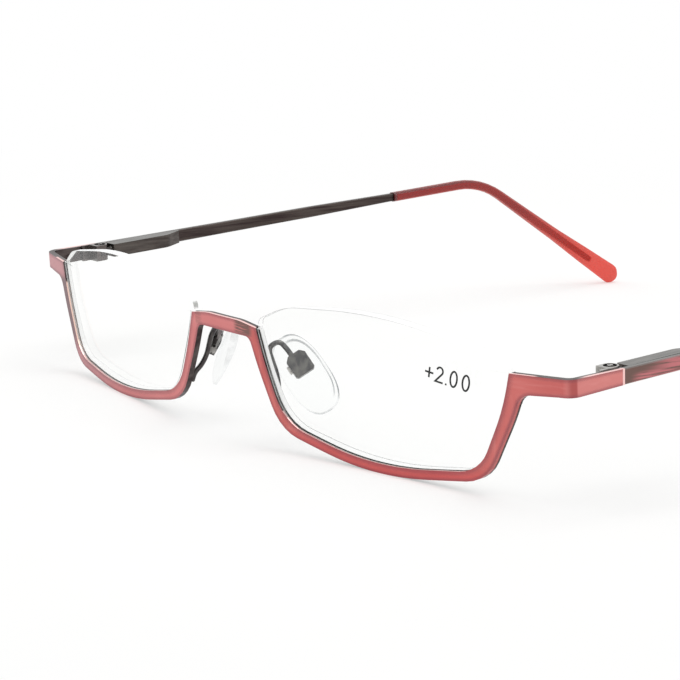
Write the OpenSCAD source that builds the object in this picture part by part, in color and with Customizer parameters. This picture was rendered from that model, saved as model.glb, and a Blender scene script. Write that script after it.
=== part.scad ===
// Half-frame reading glasses: a metal front whose rims hold the lenses from below,
// spring-hinged temples with plastic tips, and screwed-on nose pads.
// X runs to the wearer's left, Y backwards along the temples, Z up. The glasses stand
// open on the undersides of their rims and on the ends of their tips.

/* [Front] */
// Width over the two endpieces
front_w = 134.4; // [130:0.2:140]
// Radius of the front's curve, seen from above
face_r = 207.6; // [180:0.2:300]
// Depth of the front from its face to its back
front_t = 1.05; // [0.9:0.05:1.6]
// Angle between the front and a square to the temples
lean_angle = 1.8; // [0:0.1:8]
// Height of the bridge's upper edge over the lowest point of the rims
bridge_top = 19.5; // [18:0.1:21]
// Height of the bridge's bar
bridge_h = 2.3; // [1.6:0.1:3]
// Radius between the bridge's underside and the rims
bridge_fillet = 1.5; // [0.8:0.1:2]
// Height of the rim below the lens
rim_w = 1.5; // [1.3:0.1:2]
// Width of the rim where it meets the bridge
rim_nose_w = 2.25; // [1.6:0.05:2.6]
// Width of the rim where it meets the endpiece
rim_end_w = 2.3; // [2:0.1:3.6]
// Drop of the endpieces below the upper ends of the rims' nose sides
end_drop = 0.3; // [0:0.05:1]
// Radius between the endpieces' undersides and the rims
end_fillet = 2.4; // [0.8:0.1:3]
// Height of the endpieces
endpiece_h = 2.7; // [2.4:0.1:3.2]
// Outer radius of the bend from the front into the side strap
bend_r = 2.2; // [1.8:0.1:3]
// Length of the side strap from the bend to the seam
strap_len = 8.8; // [7.5:0.1:12]
// Height of the side strap at the seam
strap_end_h = 2.4; // [2:0.1:2.8]

/* [Lenses] */
// Distance between the lenses at the bridge
bridge_w = 16.7; // [15:0.1:19]
// Width of each lens
lens_w = 49; // [47:0.1:51]
// Height of the lens's upper edge over the lowest point of the rims
lens_top = 24.2; // [22.5:0.1:26]
// Radius of the lens's front surface, which with the back one makes +2 dioptres
lens_front_r = 150; // [140:1:170]
// Radius of the lens's back surface
lens_back_r = 375; // [340:1:420]
// Thickness of the lens in its middle
lens_t = 2.2; // [2:0.1:3]
// Distance of the lens's middle ahead of the rim's face
lens_ahead = 0.2; // [0.1:0.05:0.3]
// Reach of the lens's edge tongue into the rim's groove
tongue_reach = 0.35; // [0.2:0.05:0.5]
// Thickness of the edge tongue
tongue_t = 0.4; // [0.3:0.05:0.45]
// Clearance between the lens and the rim
lens_gap = 0.04; // [0.02:0.01:0.06]

/* [Hinges] */
// Distance of the screw's axis from the outer side of the strap
hinge_in = 2.4; // [2.4:0.05:3]
// Distance of the screw's axis ahead of the seam
hinge_ahead = 0.62; // [0.4:0.02:0.8]
// Radius of the knuckles
knuckle_r = 1.3; // [1.2:0.05:1.35]
// Height of the whole knuckle stack
knuckle_h = 2.8; // [2.4:0.1:3.2]
// Height of the middle knuckle and its neck
tongue_h = 1.04; // [0.8:0.02:1.2]
// Clearance above and below the middle knuckle
knuckle_gap = 0.03; // [0.02:0.01:0.06]
// Radius of the hinge screw's shank
screw_r = 0.6; // [0.4:0.05:0.65]
// Radius of the hinge screw's head
screw_head_r = 0.85; // [0.8:0.05:0.9]
// Height of the hinge screw's head
screw_head_h = 0.4; // [0.3:0.05:0.5]
// Clearance round the screw in the knuckle that turns on it
pin_gap = 0.04; // [0.02:0.01:0.08]
// Length of the plate that is soldered to the strap
plate_len = 3.2; // [3:0.1:6]
// Thickness of that plate
plate_t = 0.5; // [0.4:0.05:0.6]
// Distance of the housing's front face behind the screw's axis
neck_len = 2.3; // [2.1:0.1:3]
// Radius of the stem that carries the spring
stem_r = 0.35; // [0.3:0.01:0.38]
// Length of the spring at the end of its travel
spring_short = 4.8; // [4.2:0.1:6]
// Outer radius of the spring
spring_r = 0.7; // [0.66:0.01:0.71]
// Diameter of the spring's wire
spring_wire = 0.22; // [0.18:0.01:0.24]
// Turns of the spring
spring_turns = 9; // [7:1:9]
// Travel of the spring hinge
flex_travel = 1.2; // [0.8:0.1:1.5]
// Length of the spring housing
housing_len = 16; // [14:0.5:20]
// Height of the spring housing
housing_h = 2.3; // [2.1:0.1:2.6]
// Radius of the bore in the housing
housing_bore_r = 0.75; // [0.74:0.01:0.8]
// Length of the bush that the spring pushes against
bush_len = 1.5; // [1:0.1:2]
// Length of the nut on the end of the stem
nut_len = 1; // [0.8:0.1:1.5]

/* [Temples] */
// Length from the screw's axis along the temple to the end of the tip
temple_len = 139.5; // [130:0.5:150]
// Distance of the ear bend behind the screw's axis
ear_at = 94.2; // [85:0.1:100]
// Angle of the ear bend
ear_angle = 34.3; // [20:0.1:40]
// Radius of the ear bend along the temple's middle
ear_r = 20; // [10:1:25]
// Thickness of the temple bar
temple_t = 1; // [0.8:0.05:1.2]
// Height of the temple bar behind the spring housing
temple_h = 2.1; // [1.8:0.1:2.3]
// Height of the temple bar where it enters the tip
temple_back_h = 1.45; // [1.1:0.05:1.5]
// Width of the seam between the strap and the temple
seam_gap = 0.07; // [0.05:0.01:0.2]
// Distance of the tip's front end behind the screw's axis
tip_at = 70.9; // [60:0.1:78]
// Height of the tip's sleeve
tip_h = 1.85; // [1.8:0.05:2.2]
// Height of the tip near its rounded end
tip_end_h = 4.1; // [2.4:0.1:5]
// Thickness of the tip
tip_t = 2; // [1.8:0.1:2.6]
// Distance of the metal core's end from the tip's end
core_short = 9; // [6:0.5:20]
// Inward bend of the tips at their ends
toe_in = 0.6; // [0:0.1:4]

/* [Nose pads] */
// Distance of a pad's middle from the glasses' middle
pad_x = 10.5; // [9.5:0.1:11]
// Distance of a pad's middle behind the front's face
pad_y = 7.5; // [7:0.1:9]
// Height of a pad's middle over the lowest point of the rims
pad_z = 10.5; // [9:0.1:12]
// Angle of the pad to the front, seen from above
pad_splay = 51; // [45:1:60]
// Turn of the pad in its own plane, its top towards the front
pad_tilt = 32; // [10:0.5:40]
// Lean of the pad's top towards the nose
pad_lean = 21.5; // [0:0.5:30]
// Height of a pad
pad_h = 14; // [12:0.1:15]
// Width of a pad
pad_w = 7.3; // [7:0.1:9]
// Thickness of a pad in its middle
pad_t = 2; // [1.6:0.1:2.6]
// Height of the screw above the pad's middle
pad_screw_up = 1.6; // [1.2:0.1:2.8]
// Distance of the screw's axis from the pad's back
pad_screw_off = 0.95; // [0.9:0.05:1.2]
// Radius of the pad screw's shank
pad_screw_r = 0.45; // [0.35:0.05:0.5]
// Clearance round the pad screw in the pad's lug
pad_pin_gap = 0.05; // [0.02:0.01:0.08]
// Radius of the pad's lug
lug_r = 0.75; // [0.7:0.01:0.8]
// Width of the box that holds the pad's lug
box_w = 3.4; // [2.6:0.1:3.6]
// Height of that box
box_h = 3.7; // [3.4:0.1:4.2]
// Thickness of the box's walls
box_wall = 0.35; // [0.3:0.05:0.45]
// Radius of the pad arm's wire
arm_r = 0.42; // [0.35:0.01:0.5]

/* [Hidden] */

LEFT = 1;
RIGHT = -1;
ROSE = [0.8, 0.42, 0.4];
GUNMETAL = [0.35, 0.33, 0.32];
STEEL = [0.72, 0.72, 0.74];
RED_PLASTIC = [0.82, 0.3, 0.27];
CLEAR = [0.85, 0.9, 0.92, 0.5];

eps = 0.01;
round_fn = 64;
surface_fn = 720;

// Vector and outline helpers

function unit(v) = v / norm(v);

function spin_x(a, p) = [p.x, p.y * cos(a) - p.z * sin(a), p.y * sin(a) + p.z * cos(a)];

function spin_y(a, p) = [p.x * cos(a) + p.z * sin(a), p.y, p.z * cos(a) - p.x * sin(a)];

function spin_z(a, p) = [p.x * cos(a) - p.y * sin(a), p.x * sin(a) + p.y * cos(a), p.z];

// The point of the line through a and b at height v
function at_height(a, b, v) = a + (b - a) * (v - a.y) / (b.y - a.y);

// The points of the arc of radius r that rounds corner b on the way from a to c
function corner(a, b, c, r) =
    let (
        u = unit(a - b),
        v = unit(c - b),
        half = acos(u * v) / 2,
        mid = b + unit(u + v) * r / sin(half),
        first = b + u * r / tan(half),
        start = atan2(first.y - mid.y, first.x - mid.x),
        turn = (180 - 2 * half) * sign(cross(b - a, c - b)),
        arc = abs(turn) * PI / 180 * r,
        n = ceil(max(abs(turn) / 12, arc / 1.5))
    )
    [for (i = [0:n]) mid + r * [cos(start + turn * i / n), sin(start + turn * i / n)]];

// An open path through [x, y, radius] corners, each rounded to its radius
function rounded(path) =
    let (p = [for (c = path) [c.x, c.y]], last = len(path) - 1)
    [
        for (i = [0:last])
            each (i == 0 || i == last || path[i].z == 0)
                ? [p[i]]
                : corner(p[i - 1], p[i], p[i + 1], path[i].z)
    ];

// Corner i of a path, moved out by w at right angles to both of its sides
function outset(path, i, w) =
    let (
        p = [for (c = path) [c.x, c.y]],
        a = i == 0 ? unit(p[1] - p[0]) : unit(p[i] - p[i - 1]),
        b = i == len(path) - 1 ? a : unit(p[i + 1] - p[i]),
        na = [a.y, -a.x],
        nb = [b.y, -b.x]
    )
    p[i] + w * (na + nb) / (1 + na * nb);

// A path moved out by the widths w at its corners, radii included
function outset_path(path, w) =
    [for (i = [0:len(path) - 1])
        let (q = outset(path, i, w[i])) [q.x, q.y, path[i].z == 0 ? 0 : path[i].z + w[i]]];

function flip(points) = [for (i = [len(points) - 1:-1:0]) [-points[i].x, points[i].y]];

// Places on the front, as [x, height]: its opening for the left lens, from the nose side
// down, under the lens and up the temple side

nose_x = bridge_w / 2;
side_x = nose_x + lens_w;
rim_top = bridge_top - 0.6;
end_top = rim_top - end_drop;

opening = [
    [nose_x, rim_top, 0],
    [nose_x + 1.75, rim_top - 5.6, 55],
    [nose_x + 5.5, rim_w + 3.2, 8.5],
    [nose_x + lens_w / 2 + 0.15, rim_w - 0.7, 60],
    [side_x - 5.45, rim_w + 1.55, 6.1],
    [side_x - 1.15, rim_top - 5.7, 36],
    [side_x, end_top, 0]
];

rim_widths = [
    rim_nose_w,
    (rim_nose_w + rim_w) / 2,
    rim_w,
    rim_w,
    rim_w,
    (rim_end_w + rim_w) / 2,
    rim_end_w
];

// The rim's two lower corners are rounded more tightly outside than inside
outer_radii = [0, opening[1].z, 8, opening[3].z, 6.1, opening[5].z, 0];
rim_outer = [
    for (i = [0:len(opening) - 1])
        let (q = outset(opening, i, rim_widths[i])) [q.x, q.y, outer_radii[i]]
];

endpiece_under = end_top - endpiece_h;
bridge_under = bridge_top - bridge_h;

nose_corner = at_height(
    [rim_outer[0].x, rim_outer[0].y],
    [rim_outer[1].x, rim_outer[1].y],
    bridge_under
);
end_corner = at_height(
    [rim_outer[5].x, rim_outer[5].y],
    [rim_outer[6].x, rim_outer[6].y],
    endpiece_under - 0.3
);

// Underside of the left half, from the middle of the bridge out to the endpiece
under_side = rounded(concat(
    [[0, bridge_under, 0], [nose_corner.x, nose_corner.y, bridge_fillet]],
    [for (i = [1:5]) rim_outer[i]],
    [
        [end_corner.x, end_corner.y, end_fillet],
        [front_w / 2 - bend_r, endpiece_under, 0],
        [front_w / 2 + bend_r, endpiece_under, 0]
    ]
));

// Upper side of the left half, from the endpiece back to the middle of the bridge
upper_side = rounded(concat(
    [[front_w / 2 + bend_r, end_top, 0], [side_x, end_top, 0]],
    [for (i = [5:-1:1]) opening[i]],
    [[nose_x, rim_top, 0], [nose_x / 2, bridge_top, 12], [0, bridge_top, 0]]
));

// The two halves of the front lap over the middle
middle_lap = 1;
half_outline = concat(
    [[-middle_lap, bridge_under]],
    under_side,
    upper_side,
    [[-middle_lap, bridge_top]]
);

// Depth of the front's face at a distance x from the middle
function face_depth(x) = face_r - sqrt(face_r * face_r - x * x);

// The bend's middle lies where its circle touches the front's face from inside
bend_x = front_w / 2 - bend_r;
bend_y = face_r - sqrt(pow(face_r - bend_r, 2) - bend_x * bend_x);
bend_from = atan2(bend_x, face_r - bend_y);

// Height of the hinge line over the lowest point of the rims, square to the temples
endpiece_mid = end_top - endpiece_h / 2;
hinge_z = spin_x(lean_angle, [0, bend_y, endpiece_mid]).z;
seam_y = spin_x(lean_angle, [0, bend_y, endpiece_mid]).y + strap_len;
hinge_x = front_w / 2 - hinge_in;
hinge_y = seam_y - hinge_ahead;

strap_t = front_t;
tongue_slot = tongue_h + 2 * knuckle_gap;
thread_gap = 0.02;
counterbore_gap = 0.1;
slot_clear = 0.2;
neck_w = 1.2;

stop_gap = 0.05;
bush_gap = 0.03;
bush_y = hinge_y + neck_len;
spring_y = bush_y + bush_len + stop_gap;
spring_len = spring_short + flex_travel;
nut_y = spring_y + spring_len + stop_gap;
stem_end = nut_y + nut_len;

// The temple's middle line: straight to the ear bend, round it and straight to the tip

bar_x = front_w / 2 - temple_t / 2;
ear_reach = ear_r * tan(ear_angle / 2);
ear_from = ear_at - ear_reach;
ear_to = ear_from + ear_r * ear_angle * PI / 180;
core_to = temple_len - core_short;

function heading(s) =
    -ear_angle * min(1, max(0, (s - ear_from) / (ear_to - ear_from)));

function line_at(s) =
    let (
        a = -heading(s),
        past = max(0, s - ear_to)
    )
    [
        hinge_y + min(s, ear_from) + ear_r * sin(a) + past * cos(ear_angle),
        hinge_z - ear_r * (1 - cos(a)) - past * sin(ear_angle)
    ];

function toe(s) = -toe_in * pow(max(0, s - ear_to) / (temple_len - ear_to), 2);

// A ring of [across, up] points, carried to the temple's middle line at s
function ring_on_line(s, ring) =
    let (c = line_at(s), a = heading(s))
    [for (p = ring) [bar_x + toe(s) + p.x, c.x - p.y * sin(a), c.y + p.y * cos(a)]];

bar_start = hinge_ahead + seam_gap;

function bar_h(s) = lookup(s, [
    [0, strap_end_h],
    [30, temple_h],
    [50, temple_h - 0.1],
    [tip_at, temple_back_h],
    [core_to, 0.7 * temple_back_h]
]);

// A bar's section with its four edges broken, and the middle of each side
function bar_ring(w, h, edge) =
    let (x = w / 2, z = h / 2)
    [
        [x, 0], [x, z - edge], [x - edge, z],
        [0, z], [edge - x, z], [-x, z - edge],
        [-x, 0], [-x, edge - z], [edge - x, -z],
        [0, -z], [x - edge, -z], [x, edge - z]
    ];

bar_edge = 0.15;
ear_stations = [for (i = [0:6]) ear_from + (ear_to - ear_from) * i / 6];
back_stations = [for (i = [1:4]) ear_to + (core_to - ear_to) * i / 4];
bar_stations = concat([bar_start, 10, 30, 50, tip_at], ear_stations, back_stations);

core_gap = 0.03;

function bar_rings(stations, gap) =
    [for (s = stations)
        ring_on_line(s, bar_ring(temple_t + 2 * gap, bar_h(s) + 2 * gap, bar_edge))];

// The tip's section is a soft-cornered oval
tip_sides = 12;
tip_soft = 0.75;

function soft(v) = sign(v) * pow(abs(v), tip_soft);

function oval_ring(w, h) =
    [for (i = [0:tip_sides - 1])
        let (a = 360 * i / tip_sides) [w / 2 * soft(cos(a)), h / 2 * soft(sin(a))]];

function tip_h_at(s) = lookup(s, [
    [ear_to, tip_h],
    [temple_len - 18, 0.65 * tip_end_h],
    [temple_len - 6, tip_end_h]
]);

// The tip's end is rounded over half its height
end_round = tip_end_h / 2;
end_from = temple_len - end_round;
end_steps = 5;

function end_share(s) = sqrt(1 - pow(max(0, s - end_from) / end_round, 2));

tip_stations = concat(
    [tip_at],
    ear_stations,
    [for (i = [1:4]) ear_to + (end_from - ear_to) * i / 4],
    [for (i = [1:end_steps]) end_from + end_round * sin(85 * i / end_steps)]
);

tip_rings = [
    for (s = tip_stations)
        ring_on_line(s, oval_ring(tip_t * (1 + end_share(s)) / 2, tip_h_at(s) * end_share(s)))
];

// The standing pose: the turn that brings the rims and the tips' ends to one level

rim_feet = [for (p = under_side) spin_x(lean_angle, [p.x, face_depth(min(p.x, bend_x)), p.y])];
tip_feet = [for (ring = tip_rings) each ring];

function height_when(a, p) = p.y * sin(a) + p.z * cos(a);

function lowest(a, points) =
    let (h = [for (p = points) height_when(a, p)]) points[search(min(h), h)[0]];

function level(a, tries) =
    let (rim = lowest(a, rim_feet), tip = lowest(a, tip_feet))
    tries == 0 ? a : level(atan2(rim.z - tip.z, tip.y - rim.y), tries - 1);

stand_angle = level(3, 6);
stand_z = -height_when(stand_angle, lowest(stand_angle, rim_feet));

function length_when(a, p) = p.y * cos(a) - p.z * sin(a);

front_y = length_when(stand_angle + lean_angle, [0, 0, bridge_top]);
back_y = max([for (p = tip_feet) length_when(stand_angle, p)]);
stand_y = -(front_y + back_y) / 2;

module on_table() {
    translate([0, stand_y, stand_z])
        rotate([stand_angle, 0, 0])
            children();
}

module on_front() {
    on_table()
        rotate([lean_angle, 0, 0])
            children();
}

module on_side(side) {
    if (side == LEFT) {
        children();
    } else {
        mirror([1, 0, 0])
            children();
    }
}

// Front

// An outline of [x, height] points, given a depth along Y
module upright(from, to) {
    translate([0, to, 0])
        rotate([90, 0, 0])
            linear_extrude(to - from)
                children();
}

// The part of the front's curve between two depths behind its face, from an angle on
// the wearer's right to one past the middle
module curved_sheet(from, to, bottom, top, right, past) {
    translate([0, face_r, bottom])
        rotate([0, 0, -90 - right])
            rotate_extrude(angle = right + past, $fn = surface_fn)
                translate([face_r - to, 0])
                    square([to - from, top - bottom]);
}

// The groove in the rim runs out through both of its upper ends
groove_reach = tongue_reach + lens_gap;
groove_path = outset_path(opening, [for (p = opening) groove_reach]);
groove_at = (front_t - tongue_t) / 2;

function open_above(path) =
    let (last = len(path) - 1, over = 2)
    concat(
        [path[0] + (path[0] - path[1]) * over / norm(path[0] - path[1])],
        path,
        [path[last] + (path[last] - path[last - 1]) * over / norm(path[last] - path[last - 1])]
    );

module groove_outline() {
    polygon(open_above(rounded(groove_path)));
}

module bend_and_strap() {
    translate([bend_x, bend_y, endpiece_under])
        rotate([0, 0, bend_from - 90])
            rotate_extrude(angle = 90 - bend_from, $fn = surface_fn)
                translate([bend_r - front_t, 0])
                    square([front_t, endpiece_h]);
    seam_low = spin_x(-lean_angle, [0, seam_y, hinge_z - strap_end_h / 2]);
    seam_high = spin_x(-lean_angle, [0, seam_y, hinge_z + strap_end_h / 2]);
    translate([front_w / 2 - strap_t, 0, 0])
        rotate([90, 0, 90])
            linear_extrude(strap_t)
                polygon([
                    [bend_y, endpiece_under],
                    [seam_low.y, seam_low.z],
                    [seam_high.y, seam_high.z],
                    [bend_y, endpiece_under + endpiece_h]
                ]);
}

sheet_depth = face_depth(front_w / 2) + 5;
lap_angle = asin(middle_lap / face_r) + 1;

module right_half() {
    difference() {
        intersection() {
            curved_sheet(0, front_t, -1, bridge_top + 1, bend_from, lap_angle);
            upright(-1, sheet_depth)
                polygon(flip(half_outline));
        }
        intersection() {
            curved_sheet(groove_at - lens_gap, groove_at + tongue_t + lens_gap,
                -1, bridge_top + 1, bend_from + 1, 0);
            upright(-1, sheet_depth)
                mirror([1, 0])
                    groove_outline();
        }
    }
    mirror([1, 0, 0])
        bend_and_strap();
}

module front_frame() {
    color(ROSE)
        on_front() {
            right_half();
            mirror([1, 0, 0])
                right_half();
        }
}

// Lenses

lens_mid_x = nose_x + lens_w / 2;
lens_mid_z = lens_top / 2;
lens_turn = asin(lens_mid_x / face_r);

// The lens's full-thickness outline: inside the opening below, free above
lens_body_path = outset_path(opening, [for (p = opening) -lens_gap]);
lens_over_path = [
    [side_x - 4.25, lens_top - 2.9, 6],
    [lens_mid_x + 0.95, lens_top + 0.6, 72],
    [nose_x + 6.5, lens_top - 1.05, 19],
    [nose_x + 0.2, bridge_top + 0.8, 1.2]
];
lens_body_outline = rounded(concat(
    lens_body_path,
    lens_over_path,
    [lens_body_path[0]]
));
lens_tongue_path = rounded(outset_path(opening, [for (p = opening) tongue_reach]));

// A sphere that is turned so that its poles lie clear of the lens
module lens_ball(r) {
    rotate([80, 0, 0])
        sphere(r = r, $fn = surface_fn / 2);
}

module lens(side) {
    front_mid = [lens_mid_x, face_depth(lens_mid_x) - lens_ahead, lens_mid_z];
    look = [sin(lens_turn), -cos(lens_turn), 0];
    color(CLEAR)
        on_front()
            on_side(side) {
                difference() {
                    intersection() {
                        upright(-3, sheet_depth)
                            polygon(lens_body_outline);
                        translate(front_mid - look * lens_front_r)
                            lens_ball(lens_front_r);
                    }
                    translate(front_mid - look * (lens_back_r + lens_t))
                        lens_ball(lens_back_r);
                }
                intersection() {
                    mirror([1, 0, 0])
                        curved_sheet(groove_at, groove_at + tongue_t, -1, rim_top - 0.2,
                            bend_from, 0);
                    upright(-3, sheet_depth)
                        polygon(lens_tongue_path);
                }
            }
}

// Hinges

module cut_cylinder(r, from, to) {
    translate([0, 0, from])
        cylinder(r = r, h = to - from, $fn = round_fn);
}

module front_hinge(side) {
    half = knuckle_h / 2;
    block_from = knuckle_r + 0.3;
    plate_x = hinge_in - strap_t;
    color(STEEL)
        on_table()
            on_side(side)
                translate([hinge_x, hinge_y, hinge_z])
                    difference() {
                        union() {
                            translate([0, 0, -half])
                                linear_extrude(knuckle_h)
                                    union() {
                                        circle(r = knuckle_r, $fn = round_fn);
                                        translate([-knuckle_r, -block_from])
                                            square([knuckle_r + plate_x - plate_t / 2,
                                                block_from]);
                                    }
                            translate([plate_x - plate_t, -plate_len, -half])
                                cube([plate_t, plate_len, knuckle_h]);
                        }
                        cut_cylinder(knuckle_r + slot_clear, -tongue_slot / 2, tongue_slot / 2);
                        translate([-knuckle_r - 1, 0, -tongue_slot / 2])
                            cube([knuckle_r + plate_x - plate_t + 1, knuckle_r + 1, tongue_slot]);
                        cut_cylinder(screw_r + thread_gap, -half - 1, half + 1);
                        cut_cylinder(screw_head_r + counterbore_gap, half - screw_head_h, half + 1);
                    }
}

module hinge_screw(side) {
    half = knuckle_h / 2;
    slot_w = 0.22;
    slot_depth = 0.2;
    color(STEEL)
        on_table()
            on_side(side)
                translate([hinge_x, hinge_y, hinge_z])
                    difference() {
                        union() {
                            cut_cylinder(screw_r, -half, half - screw_head_h + eps);
                            cut_cylinder(screw_head_r, half - screw_head_h, half + 0.05);
                        }
                        translate([-screw_head_r - 1, -slot_w / 2, half + 0.05 - slot_depth])
                            cube([2 * screw_head_r + 2, slot_w, 1]);
                    }
}

// A round bar that lies along Y from one distance to another behind the screw's axis
module lying_rod(r, from, to) {
    translate([0, to, 0])
        rotate([90, 0, 0])
            cylinder(r = r, h = to - from, $fn = round_fn);
}

// The middle knuckle, its neck and the stem that slides in the housing
module carriage(side) {
    color(STEEL)
        on_table()
            on_side(side)
                translate([hinge_x, hinge_y, hinge_z])
                    difference() {
                        union() {
                            cut_cylinder(knuckle_r, -tongue_h / 2, tongue_h / 2);
                            translate([-neck_w / 2, 0, -tongue_h / 2])
                                cube([neck_w, neck_len - stop_gap, tongue_h]);
                            lying_rod(stem_r, neck_len - stop_gap - eps, stem_end - hinge_y);
                        }
                        cut_cylinder(screw_r + pin_gap, -tongue_h, tongue_h);
                    }
}

module stop_bush(side) {
    color(STEEL)
        on_table()
            on_side(side)
                translate([hinge_x, 0, hinge_z])
                    difference() {
                        lying_rod(housing_bore_r - bush_gap, bush_y, bush_y + bush_len);
                        lying_rod(stem_r + pin_gap, bush_y - 1, bush_y + bush_len + 1);
                    }
}

module end_nut(side) {
    nut_gap = 0.1;
    color(STEEL)
        on_table()
            on_side(side)
                translate([hinge_x, 0, hinge_z])
                    difference() {
                        lying_rod(housing_bore_r - nut_gap, nut_y, stem_end);
                        lying_rod(stem_r + thread_gap, nut_y - 1, stem_end + 1);
                    }
}

// A closed solid over a list of rings with the same number of points
module loft(rings) {
    n = len(rings[0]);
    m = len(rings);
    sides = [
        for (i = [0:m - 2])
            for (j = [0:n - 1])
                let (k = (j + 1) % n)
                each [
                    [i * n + j, (i + 1) * n + j, (i + 1) * n + k],
                    [i * n + j, (i + 1) * n + k, i * n + k]
                ]
    ];
    first = [for (j = [1:n - 2]) [0, j, j + 1]];
    last = [for (j = [1:n - 2]) [(m - 1) * n, (m - 1) * n + j + 1, (m - 1) * n + j]];
    polyhedron([for (r = rings) each r], concat(sides, first, last));
}

// Both springs are wound the same way, so the right one isn't a mirror image
module spring(side) {
    steps = 10;
    sides = 6;
    wire_r = spring_wire / 2;
    wind_r = spring_r - wire_r;
    rise = spring_len - spring_wire;
    slope = atan2(rise, spring_turns * 2 * PI * wind_r);
    color(STEEL)
        on_table()
            translate([side * hinge_x, spring_y + wire_r, hinge_z])
                loft([
                    for (i = [0:spring_turns * steps])
                        let (a = 360 * i / steps, y = rise * i / (spring_turns * steps))
                        [
                            for (j = [0:sides - 1])
                                let (
                                    b = -360 * j / sides,
                                    out = wind_r + wire_r * cos(b),
                                    on = wire_r * sin(b)
                                )
                                [
                                    out * cos(a) + on * sin(slope) * sin(a),
                                    y + on * cos(slope),
                                    out * sin(a) - on * sin(slope) * cos(a)
                                ]
                        ]
                ]);
}

// The housing that is welded to the temple's inner side, bored for the spring
module spring_housing(side) {
    wall_x = hinge_in - temple_t;
    inner_x = -housing_bore_r - 0.3;
    from = neck_len;
    to = neck_len + housing_len;
    color(GUNMETAL)
        on_table()
            on_side(side)
                translate([hinge_x, hinge_y, hinge_z])
                    difference() {
                        translate([0, 0, -housing_h / 2])
                            linear_extrude(housing_h)
                                polygon(rounded([
                                    [wall_x, from, 0],
                                    [inner_x, from, 0.3],
                                    [inner_x, to - 4, 3],
                                    [wall_x - 0.5, to, 0.4],
                                    [wall_x, to, 0]
                                ]));
                        lying_rod(housing_bore_r, from - 1, stem_end - hinge_y + 0.3);
                    }
}

// Temples

module temple(side) {
    color(GUNMETAL)
        on_table()
            on_side(side)
                loft(bar_rings(bar_stations, 0));
}

// From the closed end of the bore for the core, out to the mouth and back over the outside
module temple_tip(side) {
    bore_stations = [
        core_to + 0.2,
        for (i = [3:-1:1]) ear_to + (core_to - ear_to) * i / 4,
        for (i = [6:-1:0]) ear_stations[i],
        tip_at
    ];
    color(RED_PLASTIC)
        on_table()
            on_side(side)
                loft(concat(bar_rings(bore_stations, core_gap), tip_rings));
}

// Nose pads. In a pad's own frame X is across, Y towards the nose and Z up the pad

pad_back = -0.4 * pad_t;
pad_screw_y = pad_back - pad_screw_off;
box_mouth = pad_screw_y + 0.35;
box_floor = pad_screw_y - lug_r - 0.1;

function from_pad(p) =
    [pad_x, pad_y, pad_z] + spin_z(pad_splay, spin_x(-pad_lean, spin_y(-pad_tilt, p)));

module at_pad() {
    translate([pad_x, pad_y, pad_z])
        rotate([0, 0, pad_splay])
            rotate([-pad_lean, 0, 0])
                rotate([0, -pad_tilt, 0])
                    children();
}

// A round bar across the pad on the screw's axis
module pad_cross_rod(r, from, to) {
    translate([from, pad_screw_y, pad_screw_up])
        rotate([0, 90, 0])
            cylinder(r = r, h = to - from, $fn = round_fn);
}

lug_w = box_w - 2 * box_wall - 0.2;

module pad_outline() {
    polygon(let (
        w = pad_w / 2,
        h = pad_h / 2,
        half = rounded([
            [0, -h, 0], [w * 0.85, -h, 0.75 * w], [w * 1.04, h * 0.07, 2.5 * w],
            [w * 0.75, h, 0.7 * w], [0, h, 0]
        ])
    ) concat(half, flip(half)));
}

module nose_pad(side) {
    dome_r = 22;
    back_r = 40;
    color(CLEAR)
        on_table()
            on_side(side)
                at_pad()
                    difference() {
                        union() {
                            intersection() {
                                upright(-pad_t, pad_t)
                                    pad_outline();
                                translate([0, pad_back + pad_t - dome_r, 0])
                                    sphere(r = dome_r, $fn = 180);
                                translate([0, pad_back + back_r, 0])
                                    sphere(r = back_r, $fn = 180);
                            }
                            pad_cross_rod(lug_r, -lug_w / 2, lug_w / 2);
                            translate([-lug_w / 2, pad_screw_y, pad_screw_up - lug_r])
                                cube([lug_w, pad_screw_off + 0.4, 2 * lug_r]);
                        }
                        pad_cross_rod(pad_screw_r + pad_pin_gap, -lug_w, lug_w);
                    }
}

// The box is broad at its foot, and its upper corners are cut
module box_outline(inset) {
    w = box_w / 2 - inset;
    h = box_h / 2 - inset;
    foot_cut = 0.09 * box_w;
    top_cut = 0.2 * box_w;
    half = [[w - foot_cut, -h], [w, foot_cut - h], [w, h - top_cut], [w - top_cut, h]];
    translate([0, pad_screw_up])
        polygon(concat(half, flip(half)));
}

module pad_box(side) {
    color(GUNMETAL)
        on_table()
            on_side(side)
                at_pad()
                    difference() {
                        upright(box_floor - box_wall, box_mouth)
                            box_outline(0);
                        upright(box_floor, box_mouth + 1)
                            box_outline(box_wall);
                        pad_cross_rod(pad_screw_r + thread_gap, -box_w, box_w);
                    }
}

module pad_screw(side) {
    head_r = pad_screw_r + 0.25;
    head_h = 0.4;
    color(STEEL)
        on_table()
            on_side(side)
                at_pad()
                    difference() {
                        union() {
                            pad_cross_rod(pad_screw_r, -box_w / 2 - eps, box_w / 2);
                            pad_cross_rod(head_r, -box_w / 2 - head_h, -box_w / 2);
                        }
                        translate([-box_w / 2 - head_h - 1, pad_screw_y - 0.08, 0])
                            cube([1.2, 0.16, pad_h]);
                    }
}

// Wire arm: soldered to the back of the rim's nose side, up behind it, over and down into
// the box's upper end

function rim_middle(i) =
    [(opening[i].x + rim_outer[i].x) / 2, (opening[i].y + rim_outer[i].y) / 2];

function behind_front(x, v, off) =
    spin_x(lean_angle, [x, face_depth(x) + front_t + off, v]);

// The arm stands the nearer to the nose, the further it is behind the rim
function leg_at(v, off) =
    behind_front(at_height(rim_middle(2), rim_middle(1), v).x - 0.45 - 0.25 * off, v, off);

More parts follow.
